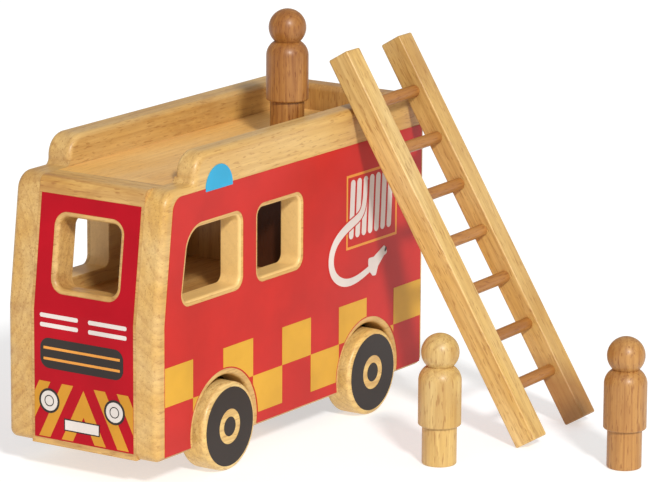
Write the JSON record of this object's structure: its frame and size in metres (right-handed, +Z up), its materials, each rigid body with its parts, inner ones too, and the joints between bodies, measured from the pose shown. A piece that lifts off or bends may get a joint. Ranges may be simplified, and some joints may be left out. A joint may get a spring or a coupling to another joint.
{
  "type": "toy fire engine",
  "caption": "Wooden toy fire engine with windows, rolling wheelsets and a railed roof deck, a loose ladder leaning on its roof rail, and loose turned peg figures.",
  "frame": {"origin": "on the floor, midway between the truck's two side boards and along its length", "axes": "+X towards the truck's front, +Y to its left, where the ladder leans, +Z up"},
  "size_m": [0.3108, 0.3414, 0.2786],
  "materials": {
    "body_wood": "satin clear lacquer over pale straight-grained hardwood",
    "wheel_wood": "satin clear lacquer over pale hardwood",
    "dowel_wood": "plain hardwood dowel",
    "ladder_wood": "satin clear lacquer over pale hardwood",
    "rung_wood": "satin reddish-brown hardwood dowel",
    "figure_light_wood": "satin clear lacquer over mid-brown hardwood",
    "figure_mid_wood": "satin clear lacquer over mid-brown hardwood",
    "figure_dark_wood": "satin clear lacquer over darker striped hardwood",
    "side_print_red": "satin printed film",
    "front_print_red": "satin printed film",
    "print_yellow": "satin printed ink",
    "print_orange": "satin printed ink",
    "print_white": "satin printed ink",
    "print_black": "satin printed ink",
    "print_blue": "satin printed ink"
  },
  "bodies": {
    "truck": {"left_side_panel": "body_wood", "right_side_panel": "body_wood", "left_side_print": "side_print_red", "right_side_print": "side_print_red", "front_panel": "body_wood", "front_print": "front_print_red", "rear_panel": "body_wood", "base_board": "body_wood", "roof_deck": "body_wood", "cab_floor": "body_wood", "cab_partition": "body_wood", "assembly_dowels": "dowel_wood"},
    "front_wheelset": {"front_axle": "dowel_wood", "front_left_wheel": "wheel_wood", "front_right_wheel": "wheel_wood"},
    "rear_wheelset": {"rear_axle": "dowel_wood", "rear_left_wheel": "wheel_wood", "rear_right_wheel": "wheel_wood"},
    "ladder": {"ladder_front_stile": "ladder_wood", "ladder_rear_stile": "ladder_wood", "ladder_rung_1": "rung_wood", "ladder_rung_2": "rung_wood", "ladder_rung_3": "rung_wood", "ladder_rung_4": "rung_wood", "ladder_rung_5": "rung_wood", "ladder_rung_6": "rung_wood", "ladder_rung_7": "rung_wood"},
    "floor_figure_light": {"figure_floor_light": "figure_light_wood"},
    "floor_figure_mid": {"figure_floor_mid": "figure_mid_wood"},
    "roof_figure_dark": {"figure_roof_dark": "figure_dark_wood"}
  },
  "joints": [
    {"name": "front_wheels_roll", "type": "hinge", "parent": "truck", "child": "front_wheelset", "pos_m": [0.08225, 0, 0.029], "axis": [0, 1, 0], "continuous": true},
    {"name": "rear_wheels_roll", "type": "hinge", "parent": "truck", "child": "rear_wheelset", "pos_m": [-0.08495, 0, 0.029], "axis": [0, 1, 0], "continuous": true},
    {"name": "ladder_lift_off", "type": "slide", "parent": "truck", "child": "ladder", "axis": [0, 0, 1], "range_m": [0, 0.12]},
    {"name": "light_figure_lift_off", "type": "slide", "parent": "truck", "child": "floor_figure_light", "axis": [0, 0, 1], "range_m": [0, 0.1]},
    {"name": "mid_figure_lift_off", "type": "slide", "parent": "truck", "child": "floor_figure_mid", "axis": [0, 0, 1], "range_m": [0, 0.1]},
    {"name": "roof_figure_lift_off", "type": "slide", "parent": "truck", "child": "roof_figure_dark", "axis": [0, 0, 1], "range_m": [0, 0.1]}
  ]
}
